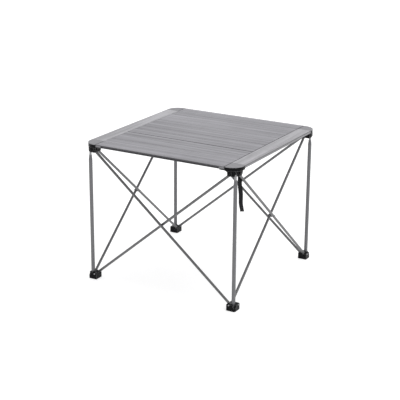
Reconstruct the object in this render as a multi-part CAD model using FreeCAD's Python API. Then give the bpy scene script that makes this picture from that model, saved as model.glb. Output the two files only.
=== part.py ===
# Folding side table: an aluminium plank top that lifts off a four-sided scissor frame.
# Units are millimetres. +Z is up, +X runs along the planks, +Y runs from front to back.
# The origin is on the floor, under the middle of the table.
import FreeCAD, Part
import math
import os

V = FreeCAD.Vector
Z_AXIS = V(0, 0, 1)

# ---------------------------------------------------------------- driving sizes
TOP_SIDE = 600.0            # the top is square
TABLE_HEIGHT = 500.0
BOARD_THICK = 10.0
STRIP_WIDTH = 50.0          # every plank, side rail and corner cap is this wide
CORNER_RADIUS = 42.0

LEG_INSET = 17.0            # leg axis, in from the edge of the top
TOP_HUB_OUT = 10.0          # hub and foot faces, measured from the leg axis
TOP_HUB_IN = 26.0
FOOT_OUT = 12.0
FOOT_IN = 21.0
FOOT_HEIGHT = 24.0
TOP_HUB_HEIGHT = 18.5
BASE_THICK = 4.0            # black plate between a corner cap and its hub
LIFT_GAP = 0.3              # the top rests this far above the hubs

PIVOT_IN = 12.5             # brace pivots, along each side from the leg axis
PLANE_GAP = 13.5            # between the outer and the inner brace of one side
FOOT_PIVOT_Z = 20.0
TOP_PIVOT_Z = 478.0
FOLDED_SPACING = 84.0       # between leg axes when the frame is folded

BRACE_RADIUS = 4.5
BRACE_WALL = 1.0
TONGUE_THICK = 6.0
TONGUE_LENGTH = 24.0
EYE_RADIUS = 5.0
PIN_RADIUS = 2.0
PIN_CLEARANCE = 0.05
SEAT_CLEARANCE = 0.02
SLOT_CLEARANCE = 0.3

TUBE_RADIUS = 6.5
TUBE_BORE = 5.4
ROD_RADIUS = 4.0
SPIGOT_RADIUS = 4.5
TUBE_TOP_Z = 455.0
ROD_END_Z = 150.0

# ---------------------------------------------------------------- derived places
HALF = TOP_SIDE / 2
LEG_AT = HALF - LEG_INSET
TOP_UNDER_Z = TABLE_HEIGHT - BOARD_THICK
BASE_UNDER_Z = TOP_UNDER_Z - BASE_THICK
HUB_TOP_Z = BASE_UNDER_Z - LIFT_GAP
HUB_UNDER_Z = HUB_TOP_Z - TOP_HUB_HEIGHT
SPAN = 2 * (LEG_AT - PIVOT_IN)
RISE = TOP_PIVOT_Z - FOOT_PIVOT_Z
BRACE_LENGTH = math.hypot(SPAN, RISE)
OPEN_ANGLE = math.degrees(math.atan2(RISE, SPAN))
FOLDED_ANGLE = math.degrees(math.acos((FOLDED_SPACING - 2 * PIVOT_IN) / BRACE_LENGTH))
CROSS_Z = (TOP_PIVOT_Z + FOOT_PIVOT_Z) / 2

CORNERS = ["fl", "fr", "br", "bl"]
SIDES = ["front", "right", "back", "left"]


# ---------------------------------------------------------------- helpers
def box(low, high):
    size = V(*high) - V(*low)
    return Part.makeBox(size.x, size.y, size.z, V(*low))


def rod(radius, start, end):
    start, end = V(*start), V(*end)
    return Part.makeCylinder(radius, (end - start).Length, start, end - start)


def face_of(edges):
    return Part.Face(Part.Wire(edges))


def polygon_face(points):
    corners = [V(*point) for point in points]
    return Part.Face(Part.makePolygon(corners + corners[:1]))


def join(shapes):
    whole = shapes[0]
    for shape in shapes[1:]:
        whole = whole.fuse(shape)
    return whole.removeSplitter()


def turned(shape, quarter_turns):
    copy = shape.copy()
    copy.rotate(V(0, 0, 0), Z_AXIS, 90 * quarter_turns)
    return copy


def write(name, shape):
    if not shape.isValid():
        raise ValueError(name + " is not a valid solid")
    shape.exportStep("parts/" + name + ".step")


def corner_block(x_low, x_high, z_low, z_high, radius):
    """A square block on the diagonal x = y whose (low, low) edge is rounded."""
    block = box((x_low, x_low, z_low), (x_high, x_high, z_high))
    edge = [e for e in block.Edges
            if all(abs(v.X - x_low) < 1e-6 and abs(v.Y - x_low) < 1e-6 for v in e.Vertexes)]
    return block.makeFillet(radius, edge)


# ---------------------------------------------------------------- the top
PLANK_COUNT = 12
PLANK_GAP = 0.5
PANEL_GAP = 1.4             # wider joint between the fourth and fifth plank
PANEL_SPLIT = 4
END_GAP = 1.2               # between a plank's shoulder and the side strip
CAP_GAP = 0.8               # between a side rail's end and a corner cap
PLANK_WALL = 1.0
EDGE_BEVEL = 0.6
RIB_PITCH = 5.0
RIB_DEPTH = 0.25
RIB_HALF = 0.5
GROOVE_LOW = 2.0            # groove in the side strips, above their underside
GROOVE_HIGH = 7.5
GROOVE_DEPTH = 9.0
GROOVE_FIT = 0.2
RIM_GROOVE_DEPTH = 4.0      # open groove along the front and back faces
RIM_PLUG = 20.0             # how far a corner cap's tongue fills that groove
TONGUE_SHY = 1.0            # how far a plank's tongue stops short of its groove and its sides
RAIL_WALL = 1.5
RAIL_SIDE_WALL = 2.0        # the rail's outer wall
RAIL_TONGUE = 18.0
PLUG_SET = 0.6              # the rim plug stands this far behind the rim
CAP_LIP = 1.6               # thin edge of a corner cap, over the wall of its base
LIP_ROUND = 1.0
WALL_SEAT = 2.0             # rebate in the cap that takes the wall
WALL_THICK = 1.8


def plank_edges(index):
    """Front and back edge of a plank, counted from the front."""
    low = -HALF + index * STRIP_WIDTH
    high = low + STRIP_WIDTH
    front_gap = PANEL_GAP if index == PANEL_SPLIT else PLANK_GAP
    back_gap = PANEL_GAP if index == PANEL_SPLIT - 1 else PLANK_GAP
    if index > 0:
        low += front_gap / 2
    if index < PLANK_COUNT - 1:
        high -= back_gap / 2
    return low, high


def ribbed_top(low, high):
    """Points across a board's top face, with shallow lengthwise grooves."""
    middle = (low + high) / 2
    reach = int((high - low) / 2 / RIB_PITCH)
    points = [(low, TABLE_HEIGHT - EDGE_BEVEL), (low + EDGE_BEVEL, TABLE_HEIGHT)]
    for step in range(-reach, reach + 1):
        at = middle + step * RIB_PITCH
        if at - RIB_HALF > low + 2 * EDGE_BEVEL and at + RIB_HALF < high - 2 * EDGE_BEVEL:
            points += [(at - RIB_HALF, TABLE_HEIGHT), (at, TABLE_HEIGHT - RIB_DEPTH),
                       (at + RIB_HALF, TABLE_HEIGHT)]
    points += [(high - EDGE_BEVEL, TABLE_HEIGHT), (high, TABLE_HEIGHT - EDGE_BEVEL)]
    return points


def board_section(low, high):
    """Outline of a board in (across, z): ribbed top, flat underside, bevelled edges."""
    under = [(high, TOP_UNDER_Z + EDGE_BEVEL), (high - EDGE_BEVEL, TOP_UNDER_Z),
             (low + EDGE_BEVEL, TOP_UNDER_Z), (low, TOP_UNDER_Z + EDGE_BEVEL)]
    return ribbed_top(low, high) + under


def plank(index):
    low, high = plank_edges(index)
    shoulder = HALF - STRIP_WIDTH - END_GAP
    tip = HALF - STRIP_WIDTH + GROOVE_DEPTH - TONGUE_SHY
    outline = polygon_face([(-shoulder, y, z) for y, z in board_section(low, high)])
    shape = outline.extrude(V(2 * shoulder, 0, 0))
    tongue_low = TOP_UNDER_Z + GROOVE_LOW + GROOVE_FIT
    tongue_high = TOP_UNDER_Z + GROOVE_HIGH - GROOVE_FIT
    inner_low = low + (RIM_GROOVE_DEPTH if index == 0 else 0) + TONGUE_SHY
    inner_high = high - (RIM_GROOVE_DEPTH if index == PLANK_COUNT - 1 else 0) - TONGUE_SHY
    shape = join([shape, box((-tip, inner_low, tongue_low), (tip, inner_high, tongue_high))])
    middle = (inner_low + inner_high) / 2
    cell_low = tongue_low + PLANK_WALL / 2
    cell_high = tongue_high - PLANK_WALL / 2
    for near, far in ((inner_low + PLANK_WALL, middle - PLANK_WALL / 2),
                      (middle + PLANK_WALL / 2, inner_high - PLANK_WALL)):
        shape = shape.cut(box((-HALF, near, cell_low), (HALF, far, cell_high)))
    if index in (0, PLANK_COUNT - 1):
        rim = low if index == 0 else high
        inward = RIM_GROOVE_DEPTH if index == 0 else -RIM_GROOVE_DEPTH
        near, far = sorted((rim, rim + inward))
        shape = shape.cut(box((-HALF, near, TOP_UNDER_Z + GROOVE_LOW),
                              (HALF, far, TOP_UNDER_Z + GROOVE_HIGH)))
    return shape


def strip_groove(y_low, y_high):
    """Space that takes the plank tongues, cut from a left side strip."""
    inner = -HALF + STRIP_WIDTH
    return box((inner - GROOVE_DEPTH, y_low, TOP_UNDER_Z + GROOVE_LOW),
               (inner, y_high, TOP_UNDER_Z + GROOVE_HIGH))


def side_rail():
    """Left side rail; the right one is this one turned half round."""
    length = TOP_SIDE - 2 * STRIP_WIDTH - 2 * CAP_GAP
    low, high = -HALF, -HALF + STRIP_WIDTH
    outline = polygon_face([(x, -length / 2, z) for x, z in board_section(low, high)])
    shape = outline.extrude(V(0, length, 0))
    shape = shape.cut(strip_groove(-length / 2, length / 2))
    cell = box((low + RAIL_SIDE_WALL, -HALF, TOP_UNDER_Z + RAIL_WALL),
               (high - GROOVE_DEPTH - RAIL_WALL, HALF, TABLE_HEIGHT - RAIL_WALL))
    return shape.cut(cell)


def corner_ring(outset, thick, x_high, z_low, z_high):
    """Wall of a rounded corner; its outer face is that far in from the edge of the top."""
    outer = corner_block(-HALF + outset, x_high, z_low, z_high, CORNER_RADIUS - outset)
    inset = outset + thick
    return outer.cut(corner_block(-HALF + inset, x_high + 1, z_low, z_high, CORNER_RADIUS - inset))


def corner_cap():
    """Front-left corner cap with its rail tongue and its rim plug; its lip covers the black wall."""
    inner = -HALF + STRIP_WIDTH
    shape = corner_block(-HALF, inner, TOP_UNDER_Z, TABLE_HEIGHT, CORNER_RADIUS)
    top_edges = [e for e in shape.Edges if all(abs(v.Z - TABLE_HEIGHT) < 1e-6 for v in e.Vertexes)]
    shape = shape.makeFillet(LIP_ROUND, top_edges)
    shape = shape.cut(corner_ring(0.0, WALL_SEAT, inner, TOP_UNDER_Z, TABLE_HEIGHT - CAP_LIP))
    shape = shape.cut(strip_groove(-HALF + RIM_GROOVE_DEPTH + TONGUE_SHY, inner))
    wall = RAIL_WALL + GROOVE_FIT
    rail_tongue = box((-HALF + RAIL_SIDE_WALL + GROOVE_FIT, inner, TOP_UNDER_Z + wall),
                      (inner - GROOVE_DEPTH - wall, inner + RAIL_TONGUE, TABLE_HEIGHT - wall))
    plug = box((inner, -HALF + PLUG_SET, TOP_UNDER_Z + GROOVE_LOW + GROOVE_FIT),
               (inner + RIM_PLUG, -HALF + RIM_GROOVE_DEPTH - GROOVE_FIT,
                TOP_UNDER_Z + GROOVE_HIGH - GROOVE_FIT))
    return join([shape, rail_tongue, plug])


# ---------------------------------------------------------------- black corner bases
TAB_GAP = 0.6               # between a locating tab and the hub's outer face
TAB_THICK = 3.4
TAB_HEIGHT = 12.0
TAB_START = 26.0            # along the edge, from the square corner
TAB_NECK = 39.0
TAB_BEND = (0.22, 0.62)     # middle of the tab's flare, as shares of its width and height
PLATE_END = 0.3             # the base stops this far short of the cap's ends
PLATE_LIP = 0.6             # thickness left at the plate's sloped ends
EDGE_SET = 0.1              # the wall stands this far inside the cap's lip
LEDGE_LENGTH = 18.0         # toe of the base under the front plank
LEDGE_THICK = 2.5
LEDGE_WIDTH = 9.0
LEDGE_ROOT = 6.0            # how far the toe is bedded in the plate
SCREW_RADIUS = 2.0
SCREW_HEAD = 3.6
SCREW_SEAT = 2.0            # depth of the hole that takes the head
SCREW_SINK = 0.4            # the head lies this deep in it
CROSS_REACH = 2.0
CROSS_HALF = 0.4
CROSS_DEPTH = 0.8
SCREW_AT = (44.0, 20.0)     # inset of the two screws of a corner


def locating_tab():
    """Hook that hangs outside the hub's front face and flares up to the top of the base plate."""
    outer = -HALF + LEG_INSET - TOP_HUB_OUT - TAB_GAP - TAB_THICK
    low = BASE_UNDER_Z - TAB_HEIGHT
    start, neck, end = (-HALF + d for d in (TAB_START, TAB_NECK, STRIP_WIDTH - PLATE_END))
    bend = V(neck + (end - neck) * TAB_BEND[0], outer, low + (TOP_UNDER_Z - low) * TAB_BEND[1])
    curve = Part.Arc(V(neck, outer, low), bend, V(end, outer, TOP_UNDER_Z)).toShape()
    corners = [V(end, outer, TOP_UNDER_Z), V(start, outer, TOP_UNDER_Z),
               V(start, outer, low), V(neck, outer, low)]
    lines = [Part.LineSegment(a, b).toShape() for a, b in zip(corners, corners[1:])]
    return face_of([curve] + lines).extrude(V(0, TAB_THICK, 0))


def mirrored_on_diagonal(shape):
    """Swaps x and y, which maps the front-left corner onto itself."""
    return shape.mirror(V(0, 0, 0), V(1, -1, 0))


def corner_base():
    """Black base of the front-left corner: plate, wall round the cap, two tabs and a toe."""
    inner = -HALF + STRIP_WIDTH - PLATE_END
    plate = corner_block(-HALF + EDGE_SET, inner, BASE_UNDER_Z, TOP_UNDER_Z, CORNER_RADIUS - EDGE_SET)
    ends = [e for e in plate.Edges
            if all(abs(v.Z - BASE_UNDER_Z) < 1e-6 for v in e.Vertexes)
            and (all(abs(v.X - inner) < 1e-6 for v in e.Vertexes)
                 or all(abs(v.Y - inner) < 1e-6 for v in e.Vertexes))]
    plate = plate.makeChamfer(BASE_THICK - PLATE_LIP, ends)
    wall = corner_ring(EDGE_SET, WALL_THICK, inner, BASE_UNDER_Z + BASE_THICK / 2,
                       TABLE_HEIGHT - CAP_LIP - EDGE_SET)
    tab = locating_tab()
    toe = box((inner - LEDGE_ROOT, -HALF + EDGE_SET, TOP_UNDER_Z - LEDGE_THICK),
              (inner + LEDGE_LENGTH, -HALF + LEDGE_WIDTH, TOP_UNDER_Z))
    shape = join([plate, wall, tab, mirrored_on_diagonal(tab), toe])
    for hole in screw_places():
        shape = shape.cut(rod(SCREW_RADIUS, (hole[0], hole[1], BASE_UNDER_Z),
                              (hole[0], hole[1], TOP_UNDER_Z)))
        shape = shape.cut(rod(SCREW_HEAD, (hole[0], hole[1], BASE_UNDER_Z),
                              (hole[0], hole[1], BASE_UNDER_Z + SCREW_SEAT)))
    return shape


def screw_places():
    far, near = (-HALF + d for d in SCREW_AT)
    return [(far, near), (near, far)]


def corner_screws():
    """Both screws of the front-left corner, head sunk in the base plate."""
    top = BASE_UNDER_Z + SCREW_SINK
    deep = top + CROSS_DEPTH
    screws = []
    for x, y in screw_places():
        head = rod(SCREW_HEAD - SEAT_CLEARANCE, (x, y, top), (x, y, BASE_UNDER_Z + SCREW_SEAT))
        shank = rod(SCREW_RADIUS - SEAT_CLEARANCE, (x, y, deep), (x, y, TOP_UNDER_Z))
        screw = join([head, shank])
        for reach, half in ((CROSS_REACH, CROSS_HALF), (CROSS_HALF, CROSS_REACH)):
            screw = screw.cut(box((x - reach, y - half, BASE_UNDER_Z), (x + reach, y + half, deep)))
        screws.append(screw)
    return screws


# ---------------------------------------------------------------- hubs
TOP_HUB_ROUND = 20.0        # radius of a hub's outer corner
FOOT_ROUND = 6.0
NOTCH_HALF = 5.5            # half width of the open corner in front of a leg
TOP_NOTCH = 7.0             # height of the small arch in a top hub's corner
FOOT_NOTCH = 12.0           # bottom of the open corner of a foot
FLUTE_HALF = 1.4            # half width of the upright flute above that arch
FLUTE_FLOOR = 4.7           # from the leg axis to the bottom of the flute
EYE_CLEARANCE = 0.4
FLUTE_ROOF = 1.5            # closed top above the flute
ROD_SEAT = 2.0              # closed top above the leg's socket
FOOT_FLOOR = 4.0            # closed bottom under the leg's spigot
BEYOND = 20.0               # length of a cutting tool, past anything it cuts
PIN_SHY = 0.5               # a top pin ends this far inside the hub's outer face
PIN_BED = 3.0               # how far a pin is bedded past its slot
PIN_HEAD = (2.8, 2.0, 1.2)  # of a foot pin: wide radius, narrow radius, height
HUB_EDGE = 1.2


def slot(along_x, plane, reach, z_low, z_high):
    """Brace slot of the front-left hub, open at its inner face."""
    half = TONGUE_THICK / 2 + SLOT_CLEARANCE
    back = PIVOT_IN - EYE_RADIUS - EYE_CLEARANCE
    low = (back, plane - half, z_low)
    high = (reach + 1, plane + half, z_high)
    if not along_x:
        low = (low[1], low[0], z_low)
        high = (high[1], high[0], z_high)
    return box(low, high)


def hub_pin(along_x, plane, pivot_z, radius, out):
    """A rod on a pin's axis, across the brace's plane, from that far out of the leg axis."""
    far = plane + TONGUE_THICK / 2 + SLOT_CLEARANCE + PIN_BED
    if along_x:
        return rod(radius, (PIVOT_IN, -out, pivot_z), (PIVOT_IN, far, pivot_z))
    return rod(radius, (-out, PIVOT_IN, pivot_z), (far, PIVOT_IN, pivot_z))


def open_corner(z_tip, z_open):
    """Arched cut in the outer corner that bares the leg; its round end is at z_tip."""
    toward = 1 if z_open > z_tip else -1
    centre = z_tip + toward * NOTCH_HALF
    low, high = sorted((centre, z_open))
    arch = join([rod(NOTCH_HALF, (0, 0, centre), (0, -BEYOND, centre)),
                 box((-NOTCH_HALF, -BEYOND, low), (NOTCH_HALF, 0, high))])
    well = rod(NOTCH_HALF, (0, 0, min(z_tip, z_open)), (0, 0, max(z_tip, z_open)))
    arch.rotate(V(0, 0, 0), Z_AXIS, -45)
    return join([arch, well])


def top_hub_local():
    """Top hub with its leg axis at x = y = 0, for the front-left corner."""
    shape = corner_block(-TOP_HUB_OUT, TOP_HUB_IN, HUB_UNDER_Z, HUB_TOP_Z, TOP_HUB_ROUND)
    rim = [e for e in shape.Edges if all(abs(v.Z - HUB_UNDER_Z) < 1e-6 for v in e.Vertexes)]
    shape = shape.makeChamfer(HUB_EDGE, rim)
    roof = TOP_PIVOT_Z + EYE_RADIUS + EYE_CLEARANCE
    shape = shape.cut(slot(True, 0.0, TOP_HUB_IN, HUB_UNDER_Z - 1, roof))
    shape = shape.cut(slot(False, PLANE_GAP, TOP_HUB_IN, HUB_UNDER_Z - 1, roof))
    shape = shape.cut(open_corner(HUB_UNDER_Z + TOP_NOTCH, HUB_UNDER_Z - 1))
    flute = box((-FLUTE_HALF, -BEYOND, HUB_UNDER_Z - 1), (FLUTE_HALF, -FLUTE_FLOOR, HUB_TOP_Z - FLUTE_ROOF))
    flute.rotate(V(0, 0, 0), Z_AXIS, -45)
    shape = shape.cut(flute)
    shape = shape.cut(rod(ROD_RADIUS + SEAT_CLEARANCE, (0, 0, HUB_UNDER_Z), (0, 0, HUB_TOP_Z - ROD_SEAT)))
    for along_x, plane in ((True, 0.0), (False, PLANE_GAP)):
        hole = PIN_RADIUS + SEAT_CLEARANCE
        shape = shape.cut(hub_pin(along_x, plane, TOP_PIVOT_Z, hole, TOP_HUB_OUT + 1))
    return shape


def foot_hub_local():
    """Foot with its leg axis at x = y = 0, for the front-left corner."""
    shape = corner_block(-FOOT_OUT, FOOT_IN, 0.0, FOOT_HEIGHT, FOOT_ROUND)
    upper = [e for e in shape.Edges if all(abs(v.Z - FOOT_HEIGHT) < 1e-6 for v in e.Vertexes)]
    lower = [e for e in shape.Edges if all(abs(v.Z) < 1e-6 for v in e.Vertexes)]
    shape = shape.makeChamfer(HUB_EDGE, upper + lower)
    floor = FOOT_PIVOT_Z - EYE_RADIUS - EYE_CLEARANCE
    shape = shape.cut(slot(True, PLANE_GAP, FOOT_IN, floor, FOOT_HEIGHT + 1))
    shape = shape.cut(slot(False, 0.0, FOOT_IN, floor, FOOT_HEIGHT + 1))
    shape = shape.cut(open_corner(FOOT_NOTCH, FOOT_HEIGHT + 1))
    shape = shape.cut(rod(SPIGOT_RADIUS + SEAT_CLEARANCE, (0, 0, FOOT_FLOOR), (0, 0, FOOT_HEIGHT)))
    for along_x, plane in ((True, PLANE_GAP), (False, 0.0)):
        hole = PIN_RADIUS + SEAT_CLEARANCE
        shape = shape.cut(hub_pin(along_x, plane, FOOT_PIVOT_Z, hole, FOOT_OUT + 1))
    return shape


def top_pins_local():
    out = TOP_HUB_OUT - PIN_SHY
    return [hub_pin(True, 0.0, TOP_PIVOT_Z, PIN_RADIUS, out),
            hub_pin(False, PLANE_GAP, TOP_PIVOT_Z, PIN_RADIUS, out)]


def foot_pins_local():
    """Foot pins with a low domed head outside the hub."""
    front = hub_pin(True, PLANE_GAP, FOOT_PIVOT_Z, PIN_RADIUS, FOOT_OUT)
    left = hub_pin(False, 0.0, FOOT_PIVOT_Z, PIN_RADIUS, FOOT_OUT)
    return [join([front, pin_head(PIVOT_IN, -FOOT_OUT, V(0, -1, 0))]),
            join([left, pin_head(-FOOT_OUT, PIVOT_IN, V(-1, 0, 0))])]


def pin_head(x, y, outward):
    wide, narrow, height = PIN_HEAD
    return Part.makeCone(wide, narrow, height, V(x, y, FOOT_PIVOT_Z), outward)


# ---------------------------------------------------------------- legs
SHOULDER = 4.0              # height of the cones between two diameters
SPIGOT_PLUG = 14.0          # solid end of the tube, above the foot
NECK_LENGTH = 16.0
NECK_STEP = 1.4
MOUTH_LENGTH = 12.0
MOUTH_RIM = 4.0
SLIDER_LENGTH = 20.0
SLIDER_EDGE = 0.8


def turned_profile(points):
    """Solid of revolution about the leg axis from (radius, z) points."""
    face = polygon_face([(radius, 0, z) for radius, z in points])
    return face.revolve(V(0, 0, 0), Z_AXIS, 360)


def leg_tube_local():
    """Lower leg: spigot in the foot, tube, and a necked-down mouth for the rod."""
    mouth = ROD_RADIUS + PIN_CLEARANCE
    spigot_z = FOOT_FLOOR + 1.0
    neck = TUBE_RADIUS - NECK_STEP
    tube_floor = FOOT_HEIGHT + SPIGOT_PLUG
    return turned_profile([
        (0, spigot_z), (SPIGOT_RADIUS - 1, spigot_z), (SPIGOT_RADIUS, spigot_z + 1),
        (SPIGOT_RADIUS, FOOT_HEIGHT - SHOULDER), (TUBE_RADIUS, FOOT_HEIGHT + SHOULDER),
        (TUBE_RADIUS, TUBE_TOP_Z - NECK_LENGTH), (neck, TUBE_TOP_Z - MOUTH_RIM), (neck, TUBE_TOP_Z),
        (mouth, TUBE_TOP_Z), (mouth, TUBE_TOP_Z - MOUTH_LENGTH),
        (TUBE_BORE, TUBE_TOP_Z - MOUTH_LENGTH - MOUTH_RIM), (TUBE_BORE, tube_floor), (0, tube_floor)])


def leg_rod_local():
    """Upper leg: a rod in the hub, with a slider that runs in the tube."""
    slider = TUBE_BORE - PIN_CLEARANCE
    slider_top = ROD_END_Z + SLIDER_LENGTH
    seat = HUB_TOP_Z - ROD_SEAT - 0.2
    return turned_profile([
        (0, ROD_END_Z), (slider - SLIDER_EDGE, ROD_END_Z), (slider, ROD_END_Z + SLIDER_EDGE),
        (slider, slider_top), (ROD_RADIUS, slider_top + SHOULDER), (ROD_RADIUS, seat), (0, seat)])


# ---------------------------------------------------------------- braces
END_PLUG = 6.0              # solid end of a brace's tube, past its tongue
SWELL_LENGTH = 4.0          # cone between tongue and tube
RIVET_RADIUS = 4.4
RIVET_HEAD = (2.6, 1.8)     # narrow radius and height


def brace_local():
    """A brace along +X from its first eye, lying in the plane y = 0."""
    tube = rod(BRACE_RADIUS, (TONGUE_LENGTH, 0, 0), (BRACE_LENGTH - TONGUE_LENGTH, 0, 0))
    bore_end = TONGUE_LENGTH + END_PLUG
    bore = rod(BRACE_RADIUS - BRACE_WALL, (bore_end, 0, 0), (BRACE_LENGTH - bore_end, 0, 0))
    tube = tube.cut(bore)
    half = TONGUE_THICK / 2
    ends = []
    for eye_x, toward in ((0.0, 1), (BRACE_LENGTH, -1)):
        eye = rod(EYE_RADIUS, (eye_x, -half, 0), (eye_x, half, 0))
        reach = sorted((eye_x, eye_x + toward * (TONGUE_LENGTH + 2)))
        flat = box((reach[0], -half, -BRACE_RADIUS), (reach[1], half, BRACE_RADIUS))
        round_bar = rod(BRACE_RADIUS, (reach[0], 0, 0), (reach[1], 0, 0))
        swell_x = eye_x + toward * (TONGUE_LENGTH - SWELL_LENGTH)
        swell = Part.makeCone(half, BRACE_RADIUS, SWELL_LENGTH, V(swell_x, 0, 0), V(toward, 0, 0))
        ends += [eye, flat.common(round_bar), swell]
    shape = join([tube] + ends)
    hole = PIN_RADIUS + PIN_CLEARANCE
    for x in (0.0, BRACE_LENGTH / 2, BRACE_LENGTH):
        shape = shape.cut(rod(hole, (x, -BEYOND, 0), (x, BEYOND, 0)))
    return shape


def placed_brace(from_top, plane):
    """Front brace in place: outer falls from the left hub, inner rises from the left foot."""
    shape = brace_local()
    angle = OPEN_ANGLE if from_top else -OPEN_ANGLE
    shape.rotate(V(0, 0, 0), V(0, 1, 0), angle)
    start_z = TOP_PIVOT_Z if from_top else FOOT_PIVOT_Z
    shape.translate(V(-LEG_AT + PIVOT_IN, -LEG_AT + plane, start_z))
    return shape


def centre_rivet():
    """Shouldered rivet where the two front braces cross; its collar keeps them apart."""
    outer, inner = -LEG_AT, -LEG_AT + PLANE_GAP
    reach = BRACE_RADIUS + PIN_CLEARANCE
    shaft = rod(PIN_RADIUS, (0, outer - reach, CROSS_Z), (0, inner + reach, CROSS_Z))
    gap = reach + PIN_CLEARANCE
    collar = rod(RIVET_RADIUS, (0, outer + gap, CROSS_Z), (0, inner - gap, CROSS_Z))
    narrow, height = RIVET_HEAD
    heads = [Part.makeCone(RIVET_RADIUS, narrow, height, V(0, y, CROSS_Z), V(0, outward, 0))
             for y, outward in ((outer - reach, -1), (inner + reach, 1))]
    return join([shaft, collar] + heads)


# ---------------------------------------------------------------- strap
STRAP_WIDTH = 28.0
STRAP_THICK = 1.6
STRAP_TOP_Z = 483.0
STRAP_END_Z = 334.0         # end of the edge nearer the leg
STRAP_SLANT = 8.0           # the far edge is cut this much longer
STRAP_FROM_LEG = 26.6       # near edge of the webbing, along the right side
STRAP_STRAIGHT = 12.0       # it hangs straight for this far under the hub
STRAP_DRIFT = 21.0          # how far the hanging end leans away from the leg
STRAP_BOW = 0.42            # share of that lean half way down
STRAP_IN = 5.1              # webbing's outer face, in from the leg axis
LUG_THICK = 1.6
LUG_HEIGHT = 14.0
LUG_GAP = 0.1               # between the lug and the webbing


def strap_lug():
    """Thin arm on the front-right top hub that carries the strap, between the braces."""
    x = LEG_AT - STRAP_IN - STRAP_THICK - LUG_GAP
    y = -LEG_AT
    return box((x - LUG_THICK, y + TOP_HUB_IN - 2, HUB_TOP_Z - LUG_HEIGHT),
               (x, y + STRAP_FROM_LEG + STRAP_WIDTH, HUB_TOP_Z - 1))


def strap():
    """Webbing tail that hangs from the lug and leans a little to the back."""
    x = LEG_AT - STRAP_IN - STRAP_THICK
    near = -LEG_AT + STRAP_FROM_LEG
    straight_z = HUB_UNDER_Z - STRAP_STRAIGHT
    middle_z = (straight_z + STRAP_END_Z) / 2
    middle_drift = STRAP_DRIFT * STRAP_BOW

    def edge_curve(y, first_z, last_z):
        ordered = [(y, first_z), (y + middle_drift, middle_z), (y + STRAP_DRIFT, last_z)]
        points = [V(x, at, z) for at, z in ordered]
        return Part.Arc(*points).toShape()

    far = near + STRAP_WIDTH
    near_edge = edge_curve(near, straight_z, STRAP_END_Z)
    far_edge = edge_curve(far, straight_z, STRAP_END_Z - STRAP_SLANT)
    corners = [V(x, near, straight_z), V(x, near, STRAP_TOP_Z), V(x, far, STRAP_TOP_Z),
               V(x, far, straight_z)]
    lines = [Part.LineSegment(a, b).toShape() for a, b in zip(corners, corners[1:])]
    hem = Part.LineSegment(V(x, far + STRAP_DRIFT, STRAP_END_Z - STRAP_SLANT),
                           V(x, near + STRAP_DRIFT, STRAP_END_Z)).toShape()
    return face_of(lines + [far_edge, hem, near_edge]).extrude(V(STRAP_THICK, 0, 0))


# ---------------------------------------------------------------- build
def write_top():
    for index in range(PLANK_COUNT):
        write("plank_%02d" % (index + 1), plank(index))
    rail = side_rail()
    write("side_rail_left", rail)
    write("side_rail_right", turned(rail, 2))


def write_mirrored_corners(name, left_front):
    """The top's corner pieces; neighbours are mirror images of each other."""
    right_front = left_front.mirror(V(0, 0, 0), V(1, 0, 0))
    for corner, shape, turns in (("fl", left_front, 0), ("fr", right_front, 0),
                                 ("br", left_front, 2), ("bl", right_front, 2)):
        write(name + corner, turned(shape, turns))


def write_corner(name, quarter_turns):
    def at_leg(shape):
        copy = shape.copy()
        copy.translate(V(-LEG_AT, -LEG_AT, 0))
        return turned(copy, quarter_turns)

    hub = at_leg(top_hub_local())
    if name == "fr":
        hub = hub.fuse(strap_lug())
    write("top_hub_" + name, hub)
    write("foot_" + name, at_leg(foot_hub_local()))
    write("leg_tube_" + name, at_leg(leg_tube_local()))
    write("leg_rod_" + name, at_leg(leg_rod_local()))
    write("top_hub_pins_" + name, Part.makeCompound([at_leg(pin) for pin in top_pins_local()]))
    write("foot_pins_" + name, Part.makeCompound([at_leg(pin) for pin in foot_pins_local()]))


def write_side(name, quarter_turns):
    write("brace_" + name + "_outer", turned(placed_brace(True, 0.0), quarter_turns))
    write("brace_" + name + "_inner", turned(placed_brace(False, PLANE_GAP), quarter_turns))
    write("centre_rivet_" + name, turned(centre_rivet(), quarter_turns))


os.makedirs("parts", exist_ok=True)
write_top()
write_mirrored_corners("corner_cap_", corner_cap())
write_mirrored_corners("corner_base_", corner_base())
for turns, (corner, side) in enumerate(zip(CORNERS, SIDES)):
    write_corner(corner, turns)
    write_side(side, turns)
all_screws = [turned(screw, turns) for turns in range(4) for screw in corner_screws()]
write("corner_screws", Part.makeCompound(all_screws))
write("strap", strap())
print("brace length %.2f, open %.3f deg, folded %.3f deg, fold %.3f deg"
      % (BRACE_LENGTH, OPEN_ANGLE, FOLDED_ANGLE, FOLDED_ANGLE - OPEN_ANGLE))
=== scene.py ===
import math

import bpy
import bmesh
from mathutils import Matrix, Vector


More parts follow.
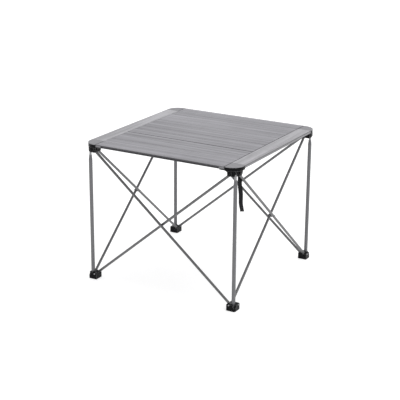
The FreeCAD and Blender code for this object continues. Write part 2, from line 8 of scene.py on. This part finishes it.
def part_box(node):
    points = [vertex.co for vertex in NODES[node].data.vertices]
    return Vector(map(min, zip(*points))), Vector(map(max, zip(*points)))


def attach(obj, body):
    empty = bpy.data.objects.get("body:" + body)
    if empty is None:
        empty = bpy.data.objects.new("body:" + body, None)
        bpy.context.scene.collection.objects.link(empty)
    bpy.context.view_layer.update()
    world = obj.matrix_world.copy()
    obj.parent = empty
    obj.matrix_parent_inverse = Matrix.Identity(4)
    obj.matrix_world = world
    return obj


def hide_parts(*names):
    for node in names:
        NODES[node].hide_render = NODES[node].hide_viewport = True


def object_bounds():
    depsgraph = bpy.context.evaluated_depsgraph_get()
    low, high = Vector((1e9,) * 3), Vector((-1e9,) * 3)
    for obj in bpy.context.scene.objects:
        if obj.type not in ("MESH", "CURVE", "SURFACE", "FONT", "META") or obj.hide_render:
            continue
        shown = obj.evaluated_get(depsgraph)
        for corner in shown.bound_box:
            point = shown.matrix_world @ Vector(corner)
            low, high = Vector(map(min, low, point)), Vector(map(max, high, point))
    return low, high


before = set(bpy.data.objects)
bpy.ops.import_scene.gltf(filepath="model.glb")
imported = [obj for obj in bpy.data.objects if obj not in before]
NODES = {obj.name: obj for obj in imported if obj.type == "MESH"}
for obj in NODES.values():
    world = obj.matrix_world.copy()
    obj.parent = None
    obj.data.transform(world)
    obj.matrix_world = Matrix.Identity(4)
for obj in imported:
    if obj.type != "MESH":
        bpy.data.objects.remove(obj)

cad_low, cad_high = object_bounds()
SCENE = bpy.context.scene


# ---------------------------------------------------------------- material helpers
class Recipe:
    """A node material under construction, in the object's own coordinates (metres)."""

    def __init__(self, name):
        self.material = bpy.data.materials.new(name)
        self.material.use_nodes = True
        self.tree = self.material.node_tree
        self.shader = self.tree.nodes["Principled BSDF"]
        self.place = self.tree.nodes.new("ShaderNodeTexCoord").outputs["Object"]

    def add(self, kind, inputs=(), **settings):
        node = self.tree.nodes.new("ShaderNode" + kind)
        for key, value in settings.items():
            setattr(node, key, value)
        for key, value in dict(inputs).items():
            self.feed(node.inputs[key], value)
        return node

    def feed(self, socket, value):
        if isinstance(value, bpy.types.NodeSocket):
            self.tree.links.new(value, socket)
        else:
            socket.default_value = value

    def math(self, operation, first, second=0.0, third=0.0):
        node = self.add("Math", {0: first, 1: second, 2: third}, operation=operation)
        return node.outputs[0]

    def axis(self, letter):
        return self.add("SeparateXYZ", {0: self.place}).outputs[letter]

    def facing(self, letter):
        """1 on faces that look along that axis of the object, 0 on the others."""
        normal = self.tree.nodes.new("ShaderNodeTexCoord").outputs["Normal"]
        part = self.add("SeparateXYZ", {0: normal}).outputs[letter]
        return self.remap(self.math("ABSOLUTE", part), 0.55, 0.85, 0.0, 1.0)

    def near(self, value, centre, half, soft):
        """1 where the value is within half of the centre, fading to 0 over the soft width."""
        away = self.math("ABSOLUTE", self.math("SUBTRACT", value, centre))
        return self.remap(away, half, half + soft, 1.0, 0.0)

    def scaled_place(self, scale):
        return self.add("Mapping", {"Vector": self.place, "Scale": scale}).outputs[0]

    def noise(self, scale, stretch=(1, 1, 1), detail=3.0, roughness=0.55):
        where = self.scaled_place(stretch)
        node = self.add("TexNoise", {"Vector": where, "Scale": scale, "Detail": detail,
                                     "Roughness": roughness})
        return node.outputs[0]

    def remap(self, value, low, high, out_low, out_high):
        node = self.add("MapRange", {0: value, 1: low, 2: high, 3: out_low, 4: out_high})
        return node.outputs[0]

    def mix(self, factor, first, second, blend="MIX"):
        node = self.add("Mix", data_type="RGBA", blend_type=blend)
        for index, value in ((0, factor), (6, first), (7, second)):
            self.feed(node.inputs[index], value)
        return node.outputs[2]

    def grey(self, value):
        return self.add("CombineColor", {0: value, 1: value, 2: value}).outputs[0]

    def bump(self, height, distance, strength=1.0, normal=None):
        inputs = {"Height": height, "Distance": distance, "Strength": strength}
        if normal is not None:
            inputs["Normal"] = normal
        return self.add("Bump", inputs).outputs[0]

    def edge_mask(self, radius):
        """Near 1 at edges: where the surface normal differs from its rounded copy."""
        rounded = self.add("Bevel", {"Radius": radius}, samples=4).outputs[0]
        plain = self.add("NewGeometry").outputs["Normal"]
        agree = self.add("VectorMath", {0: rounded, 1: plain}, operation="DOT_PRODUCT")
        return self.remap(agree.outputs["Value"], 0.985, 0.80, 0.0, 1.0)

    def surface(self, **inputs):
        names = {"color": "Base Color", "metallic": "Metallic", "roughness": "Roughness",
                 "normal": "Normal", "specular": "Specular IOR Level", "sheen": "Sheen Weight",
                 "sheen_roughness": "Sheen Roughness", "coat": "Coat Weight",
                 "coat_roughness": "Coat Roughness", "anisotropic": "Anisotropic"}
        for key, value in inputs.items():
            self.feed(self.shader.inputs[names[key]], value)
        return self.material


def assign(material, *nodes):
    for name in nodes:
        mesh = NODES[name].data
        mesh.materials.clear()
        mesh.materials.append(material)


def named(prefix):
    return [name for name in NODES if name.startswith(prefix)]


# ---------------------------------------------------------------- materials
BOARD_PITCH = 0.05
JOINT_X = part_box("side_rail_right")[0].x    # the strips round the top meet the planks here
END_GAP = 0.0012            # open joint between a plank's end and its side rail
WIDE_SEAM = -0.1            # the joint between the fourth and fifth planks stands open
PLANK_TONE = (0.345, 0.340, 0.366, 1)
RAIL_TONE = (0.425, 0.420, 0.442, 1)
CAP_TONE = (0.276, 0.273, 0.290, 1)
LEG_TONE = (0.148, 0.148, 0.155, 1)
BRACE_TONE = (0.145, 0.145, 0.149, 1)
ROD_TONE = (0.260, 0.260, 0.266, 1)
NYLON_TONE = (0.003, 0.003, 0.004, 1)
STEEL_TONE = (0.200, 0.200, 0.206, 1)
PIN_TONE = (0.300, 0.300, 0.312, 1)
JOINT_PAINTED_SHADE = 0.12            # painted shade on the ends and sides inside a joint, where no light falls
WIDE_SEAM_SHADE = 0.15      # the same painted shade, on the top face beside the open joint
SEAM_SHADE = 0.80           # painted shade on the top face beside each plain joint
MIDDLE_SHADE = 0.90         # painted shade in a soft band along the middle of the top
RIM_SHADE = 0.34            # painted shade in the channel along the front and back rims
SIDE_SHADE = 0.47           # painted shade on the outer face of the side rails
LIP_SHADE = 0.55            # more painted shade at the top of that face, under its lip
CAP_SIDE_SHADE = 0.80       # painted shade on the upright faces of the corner caps
EDGE_BAND = 0.02            # faces this close to the table's edge belong to its rim
HAIRLINES = (3.0, 420.0)    # noise waves per metre, along and across a board
STREAKS = (1.6, 60.0)
FINE_LINES = (14.0, 1500.0)
WEB_TONE = (0.004, 0.004, 0.005, 1)


def drawn_out(waves, along):
    """Noise scale per axis: few waves along the board, many across it."""
    few, many = waves
    return tuple(few if axis == along else many for axis in "XYZ")


def brushed_board(name, tone, along, across):
    """Anodised extrusion with hairlines along it, a tone of its own per board, lightly worn edges."""
    r = Recipe(name)
    hairlines = r.noise(1.0, drawn_out(HAIRLINES, along), 4.0, 0.6)
    streaks = r.noise(1.0, drawn_out(STREAKS, along), 3.0, 0.6)
    fine = r.noise(1.0, drawn_out(FINE_LINES, along), 2.0)
    cloud = r.noise(9.0, (4, 1, 1) if along == "X" else (1, 4, 1), 3.0)
    board = r.math("FLOOR", r.math("DIVIDE", r.axis(across), BOARD_PITCH))
    lot = r.add("TexWhiteNoise", {"W": board}, noise_dimensions="1D").outputs[0]
    level = r.math("ADD", r.remap(hairlines, 0.3, 0.7, 0.95, 1.05), r.remap(cloud, 0.3, 0.7, -0.04, 0.04))
    level = r.math("ADD", level, r.remap(streaks, 0.32, 0.68, -0.24, 0.24))
    level = r.math("ADD", level, r.remap(lot, 0.0, 1.0, -0.04, 0.04))
    at_edges = r.edge_mask(0.0007)
    scratch = r.remap(r.noise(38.0, (1, 1, 1), 5.0, 0.7), 0.55, 0.75, 0.0, 1.0)
    colour = r.mix(1.0, tone, r.grey(level), "MULTIPLY")
    colour = r.mix(r.math("MULTIPLY", r.math("MULTIPLY", at_edges, scratch), 0.4), colour, (0.7, 0.7, 0.71, 1))
    rough = r.math("ADD", r.remap(fine, 0.3, 0.7, 0.40, 0.54), r.remap(cloud, 0.3, 0.7, -0.03, 0.04))
    normal = r.bump(hairlines, 0.00006, 0.7)
    normal = r.bump(fine, 0.00002, 0.6, normal)
    r.surface(metallic=0.40, roughness=rough, normal=normal, anisotropic=0.35)
    return r, colour


def shade(r, colour, amount, mask):
    """Paints shade: darkens the colour to that share of itself where the mask is 1."""
    dark = r.mix(1.0, colour, (amount, amount, amount, 1), "MULTIPLY")
    return r.mix(mask, colour, dark)


def plank_alloy():
    """Plank: painted shade on its ends and sides at the joints, beside the joints and along the middle of
    the top, and in the channel along the rim of the top.
    """
    r, colour = brushed_board("plank_alloy", PLANK_TONE, "X", "Y")
    x_away = r.math("ABSOLUTE", r.axis("X"))
    y = r.axis("Y")
    rim = r.math("GREATER_THAN", r.math("ABSOLUTE", y), cad_high.y - EDGE_BAND)
    # Painted shade inside the joints, in the rim channel, beside the joints and along the middle of the
    # top.
    colour = shade(r, colour, JOINT_PAINTED_SHADE, r.math("MULTIPLY", r.facing("Y"), r.math("SUBTRACT", 1.0, rim)))
    colour = shade(r, colour, RIM_SHADE, r.math("MULTIPLY", r.facing("Y"), rim))
    plank_end = JOINT_X - END_GAP
    colour = shade(r, colour, JOINT_PAINTED_SHADE, r.remap(x_away, plank_end - 0.0009, plank_end - 0.0004, 0, 1))
    colour = shade(r, colour, WIDE_SEAM_SHADE, r.near(y, WIDE_SEAM, 0.0018, 0.0008))
    joint = r.math("PINGPONG", r.math("ADD", y, 1.0), BOARD_PITCH)
    colour = shade(r, colour, SEAM_SHADE, r.near(joint, 0.0, 0.0006, 0.0008))
    colour = shade(r, colour, MIDDLE_SHADE, r.near(y, 0.0, 0.004, 0.012))
    return r.surface(color=colour)


def rail_alloy():
    """Side rail: painted shade on its outer face, deeper under its lip."""
    r, colour = brushed_board("rail_alloy", RAIL_TONE, "Y", "X")
    x_away = r.math("ABSOLUTE", r.axis("X"))
    outside = r.math("MULTIPLY", r.facing("X"), r.math("GREATER_THAN", x_away, cad_high.x - EDGE_BAND))
    lip = r.remap(r.axis("Z"), cad_high.z - 0.0045, cad_high.z - 0.0025, 0.0, 1.0)
    colour = shade(r, colour, SIDE_SHADE, outside)
    colour = shade(r, colour, LIP_SHADE, r.math("MULTIPLY", outside, lip))
    return r.surface(color=colour)


def cap_plastic():
    """Corner cap, painted to match the boards, with painted shade on its upright faces and deeper painted
    shade on the two faces at its joints.
    """
    r, colour = moulded("cap_plastic", CAP_TONE, 0.07, 900.0, 0.50, 0.62, 0.03, 0.4)
    x_joint = r.near(r.math("ABSOLUTE", r.axis("X")), JOINT_X, 0.0006, 0.0004)
    y_joint = r.near(r.math("ABSOLUTE", r.axis("Y")), JOINT_X, 0.0006, 0.0004)
    colour = shade(r, colour, CAP_SIDE_SHADE, r.math("MAXIMUM", r.facing("X"), r.facing("Y")))
    colour = shade(r, colour, JOINT_PAINTED_SHADE, r.math("MAXIMUM", x_joint, y_joint))
    return r.surface(color=colour)


def anodised_tube(name, tone, metallic, rough_low, rough_high):
    """Drawn tube: a faint mottle and drift of tone, fine specks, and worn edges."""
    r = Recipe(name)
    mottle = r.noise(60.0, (1, 1, 1), 4.0)
    drift = r.noise(5.0, (1, 1, 1), 2.0)
    speck = r.noise(900.0, (1, 1, 1), 2.0, 0.7)
    level = r.math("ADD", r.remap(mottle, 0.3, 0.7, 0.94, 1.06), r.remap(drift, 0.3, 0.7, -0.05, 0.05))
    colour = r.mix(1.0, tone, r.grey(level), "MULTIPLY")
    at_edges = r.edge_mask(0.0006)
    colour = r.mix(r.math("MULTIPLY", at_edges, 0.5), colour, (0.6, 0.6, 0.61, 1))
    rough = r.remap(mottle, 0.3, 0.7, rough_low, rough_high)
    normal = r.bump(speck, 0.00002, 0.5)
    return r.surface(color=colour, metallic=metallic, roughness=rough, normal=normal)


def moulded(name, tone, wear_and_glint, grain, rough_low, rough_high, dust, specular):
    """Injection-moulded plastic: spark-eroded grain, lightened edges (worn edges, and a painted highlight
    of glints where the lift is large, as on the hubs), a trace of dust.
    """
    r = Recipe(name)
    fine = r.noise(grain, (1, 1, 1), 2.0, 0.6)
    cloud = r.noise(30.0, (1, 1, 1), 4.0)
    at_edges = r.edge_mask(0.0012)
    pale = tuple(min(1.0, channel * 1.3 + wear_and_glint) for channel in tone[:3]) + (1,)
    # Edge lift: worn edges, and on the hubs mostly a painted highlight standing in for glints on glossy
    # edges.
    colour = r.mix(r.math("MULTIPLY", at_edges, 0.7), tone, pale)
    colour = r.mix(r.remap(cloud, 0.5, 0.8, 0.0, dust), colour, (0.16, 0.155, 0.15, 1))
    rough = r.math("ADD", r.remap(cloud, 0.3, 0.7, rough_low, rough_high), r.remap(at_edges, 0, 1, 0.0, -0.12))
    normal = r.bump(fine, 0.00008, 0.45)
    r.surface(metallic=0.0, roughness=rough, normal=normal, specular=specular)
    return r, colour


def hub_nylon():
    # The large edge lift here is a painted highlight for glints along the glossy edges, besides worn
    # edges.
    r, colour = moulded("hub_nylon", NYLON_TONE, 0.30, 700.0, 0.20, 0.34, 0.02, 0.08)
    return r.surface(color=colour)


def plated_steel(name, tone):
    r = Recipe(name)
    mottle = r.noise(220.0, (1, 1, 1), 4.0)
    dull = tuple(channel * 0.7 for channel in tone[:3]) + (1,)
    colour = r.mix(r.remap(mottle, 0.35, 0.7, 0.0, 0.5), tone, dull)
    rough = r.remap(mottle, 0.3, 0.7, 0.24, 0.40)
    return r.surface(color=colour, metallic=1.0, roughness=rough, normal=r.bump(mottle, 0.00003, 0.4))


def paint_cad_nodes():
    planks = plank_alloy()
    rails = rail_alloy()
    caps = cap_plastic()
    nylon = hub_nylon()
    legs = anodised_tube("leg_alloy", LEG_TONE, 0.60, 0.30, 0.40)
    braces = anodised_tube("brace_alloy", BRACE_TONE, 0.50, 0.34, 0.46)
    rods = anodised_tube("rod_alloy", ROD_TONE, 0.80, 0.24, 0.34)
    steel = plated_steel("plated_steel", STEEL_TONE)
    blackened = plated_steel("blackened_steel", PIN_TONE)
    assign(planks, *named("plank_"))
    assign(rails, *named("side_rail_"))
    assign(caps, *named("corner_cap_"))
    assign(nylon, *named("corner_base_"), *named("top_hub_"), *named("foot_"))
    assign(legs, *named("leg_tube_"))
    assign(rods, *named("leg_rod_"))
    assign(braces, *named("brace_"))
    assign(steel, "corner_screws", *named("centre_rivet_"))
    assign(blackened, *named("top_hub_pins_"), *named("foot_pins_"))


# ---------------------------------------------------------------- strap
STRAP_WIDTH = 0.028
STRAP_SLANT = 0.008         # the hem is cut this much longer at the side away from the leg
STRAP_BENDS = ((0.30, 0.62, 0.43), (0.76, 1.04, 0.57))    # start, end, share of the whole lean
STRAP_ROWS = 72
STRAP_COLUMNS = 10
STRAP_CROWN = 0.00025       # the middle of the webbing stands out this far
STRAP_WAVE = 0.0004         # how far its free end is out of flat
SOFT_EDGE = 0.0004
RIB_PITCH = 0.0014
YARN_PITCH = 0.0011
STITCH_PITCH = 0.0030
HEM_ROWS = (0.004, 0.016)   # distance of each stitched row from the cut end


def webbing(length):
    """Woven nylon, on a map in metres: ribs across, yarns along, a stitched hem."""
    r = Recipe("webbing")
    split = r.add("SeparateXYZ", {0: r.add("UVMap", uv_map="cloth").outputs[0]})
    across, down = split.outputs["X"], split.outputs["Y"]
    ribs = r.math("SINE", r.math("MULTIPLY", down, 2 * math.pi / RIB_PITCH))
    yarns = r.math("SINE", r.math("MULTIPLY", across, 2 * math.pi / YARN_PITCH))
    weave = r.math("MULTIPLY", ribs, yarns)
    selvedge = r.near(r.math("ABSOLUTE", r.math("SUBTRACT", across, STRAP_WIDTH / 2)), STRAP_WIDTH / 2,
                      0.0012, 0.0006)
    along_row = r.math("SINE", r.math("MULTIPLY", across, 2 * math.pi / STITCH_PITCH))
    dashes = r.math("GREATER_THAN", along_row, -0.3)
    first_row, second_row = (r.near(down, length - row, 0.0003, 0.0003) for row in HEM_ROWS)
    rows = r.math("MAXIMUM", first_row, second_row)
    stitches = r.math("MULTIPLY", rows, dashes)
    fuzz = r.noise(500.0, (1, 1, 1), 3.0)
    colour = r.mix(r.remap(weave, -1, 1, 0.0, 1.0), WEB_TONE, (0.011, 0.011, 0.012, 1))
    colour = r.mix(r.remap(fuzz, 0.5, 0.8, 0.0, 0.25), colour, (0.025, 0.025, 0.027, 1))
    colour = r.mix(stitches, colour, (0.060, 0.060, 0.062, 1))
    normal = r.bump(weave, 0.0003, 0.8)
    normal = r.bump(fuzz, 0.0001, 0.4, normal)
    normal = r.bump(r.math("ADD", stitches, selvedge), 0.0004, 0.6, normal)
    return r.surface(color=colour, roughness=0.80, normal=normal, specular=0.08, sheen=0.01,
                     sheen_roughness=0.5)


def soft_step(value):
    value = min(1.0, max(0.0, value))
    return value * value * (3.0 - 2.0 * value)


def make_strap():
    """The webbing tail: it hangs from its lug and leans away from the leg in two soft bends."""
    low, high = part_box("strap")
    thick = high.x - low.x
    length = high.z - low.z
    drift = high.y - low.y - STRAP_WIDTH
    centre_x = (low.x + high.x) / 2
    mesh = bmesh.new()
    cloth = mesh.loops.layers.uv.new("cloth")
    flat = {}
    grid = []
    for row in range(STRAP_ROWS + 1):
        t = row / STRAP_ROWS
        lean = sum(share * soft_step((t - start) / (end - start)) for start, end, share in STRAP_BENDS)
        line = []
        for column in range(STRAP_COLUMNS + 1):
            s = column / STRAP_COLUMNS
            crown = STRAP_CROWN * math.sin(math.pi * s)
            wave = STRAP_WAVE * math.sin(9.0 * t + 2.0 * s) * t
            corner = mesh.verts.new((centre_x + crown + wave, low.y + drift * lean + STRAP_WIDTH * s,
                                     high.z - (length - STRAP_SLANT * (1.0 - s)) * t))
            flat[corner] = (STRAP_WIDTH * s, length * t)
            line.append(corner)
        grid.append(line)
    for upper, lower in zip(grid, grid[1:]):
        for corners in zip(upper, upper[1:], lower[1:], lower):
            face = mesh.faces.new(corners)
            face.smooth = True
            for loop in face.loops:
                loop[cloth].uv = flat[loop.vert]
    data = bpy.data.meshes.new("strap_webbing")
    mesh.to_mesh(data)
    mesh.free()
    piece = bpy.data.objects.new("strap_webbing", data)
    SCENE.collection.objects.link(piece)
    solid = piece.modifiers.new("thickness", "SOLIDIFY")
    solid.thickness = thick * 0.8
    solid.offset = 0.0
    edge = piece.modifiers.new("soft_edge", "BEVEL")
    edge.width = SOFT_EDGE
    edge.segments = 2
    data.materials.append(webbing(length))
    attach(piece, "hub_unit_fr")
    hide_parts("strap")


# ---------------------------------------------------------------- studio
CAMERA_AT = Vector((1.9452, -3.4114, 1.5711))
CAMERA_YAW = math.radians(-29.82)
CAMERA_DOWN = math.radians(18.48)
CAMERA_ROLL = math.radians(0.40)
CAMERA_LENS = 104.2
FLOOR_HALF = 30.0
FLOOR_GLOW = 0.64
SKY_FRONT = 0.42
SKY_BACK = 0.75
SKY_RAMP = (-0.9, 0.7)      # the sky grows from its front to its back level over this part of Y
KEY_TOWARD = (-0.12, -0.30, -1.0)
KEY_POWER = 1.08
KEY_SPREAD = 50.0
SIDE_TOWARD = (-1.0, 0.35, -0.45)
SIDE_POWER = 0.7
SIDE_SPREAD = 30.0


def make_camera():
    forward = Vector((math.sin(CAMERA_YAW) * math.cos(CAMERA_DOWN),
                      math.cos(CAMERA_YAW) * math.cos(CAMERA_DOWN), -math.sin(CAMERA_DOWN)))
    level = Vector((math.cos(CAMERA_YAW), -math.sin(CAMERA_YAW), 0))
    upright = level.cross(forward)
    right = math.cos(CAMERA_ROLL) * level + math.sin(CAMERA_ROLL) * upright
    up = -math.sin(CAMERA_ROLL) * level + math.cos(CAMERA_ROLL) * upright
    data = bpy.data.cameras.new("camera")
    data.lens = CAMERA_LENS
    data.sensor_width = 36.0
    data.clip_end = 100.0
    camera = bpy.data.objects.new("camera", data)
    SCENE.collection.objects.link(camera)
    rotation = Matrix((right, up, -forward)).transposed().to_4x4()
    camera.matrix_world = Matrix.Translation(CAMERA_AT) @ rotation
    SCENE.camera = camera


def make_floor():
    """A white light table: it glows a little, so the soft shadows stay pale."""
    mesh = bpy.data.meshes.new("studio_floor")
    corners = [(x * FLOOR_HALF, y * FLOOR_HALF, 0) for x, y in ((-1, -1), (1, -1), (1, 1), (-1, 1))]
    mesh.from_pydata(corners, [], [(0, 1, 2, 3)])
    floor = bpy.data.objects.new("studio_floor", mesh)
    SCENE.collection.objects.link(floor)
    r = Recipe("studio_floor")
    cloud = r.noise(0.8, (1, 1, 1), 2.0)
    colour = r.mix(cloud, (0.60, 0.60, 0.60, 1), (0.62, 0.62, 0.62, 1))
    r.surface(color=colour, roughness=0.9, specular=0.1)
    r.shader.inputs["Emission Color"].default_value = (1, 1, 1, 1)
    r.shader.inputs["Emission Strength"].default_value = FLOOR_GLOW
    mesh.materials.append(r.material)


def make_world():
    """A soft box round the table: bright above and behind, dim in front."""
    world = bpy.data.worlds.new("studio")
    world.use_nodes = True
    tree = world.node_tree
    place = tree.nodes.new("ShaderNodeTexCoord").outputs["Generated"]
    split = tree.nodes.new("ShaderNodeSeparateXYZ")
    tree.links.new(place, split.inputs[0])
    level = tree.nodes.new("ShaderNodeMapRange")
    level.interpolation_type = "SMOOTHSTEP"
    for index, value in ((1, SKY_RAMP[0]), (2, SKY_RAMP[1]), (3, SKY_FRONT), (4, SKY_BACK)):
        level.inputs[index].default_value = value
    tree.links.new(split.outputs["Y"], level.inputs[0])
    tree.links.new(level.outputs[0], tree.nodes["Background"].inputs["Strength"])
    tree.nodes["Background"].inputs["Color"].default_value = (1, 1, 1, 1)
    SCENE.world = world


def sun(name, toward, strength, spread):
    data = bpy.data.lights.new(name, "SUN")
    data.energy = strength
    data.angle = math.radians(spread)
    lamp = bpy.data.objects.new(name, data)
    SCENE.collection.objects.link(lamp)
    lamp.rotation_euler = Vector(toward).to_track_quat("-Z", "Y").to_euler()


def make_studio():
    make_camera()
    make_floor()
    make_world()
    sun("key", KEY_TOWARD, KEY_POWER, KEY_SPREAD)
    sun("side", SIDE_TOWARD, SIDE_POWER, SIDE_SPREAD)
    SCENE.view_settings.view_transform = "Standard"


# ---------------------------------------------------------------- the scene
make_studio()
paint_cad_nodes()
make_strap()
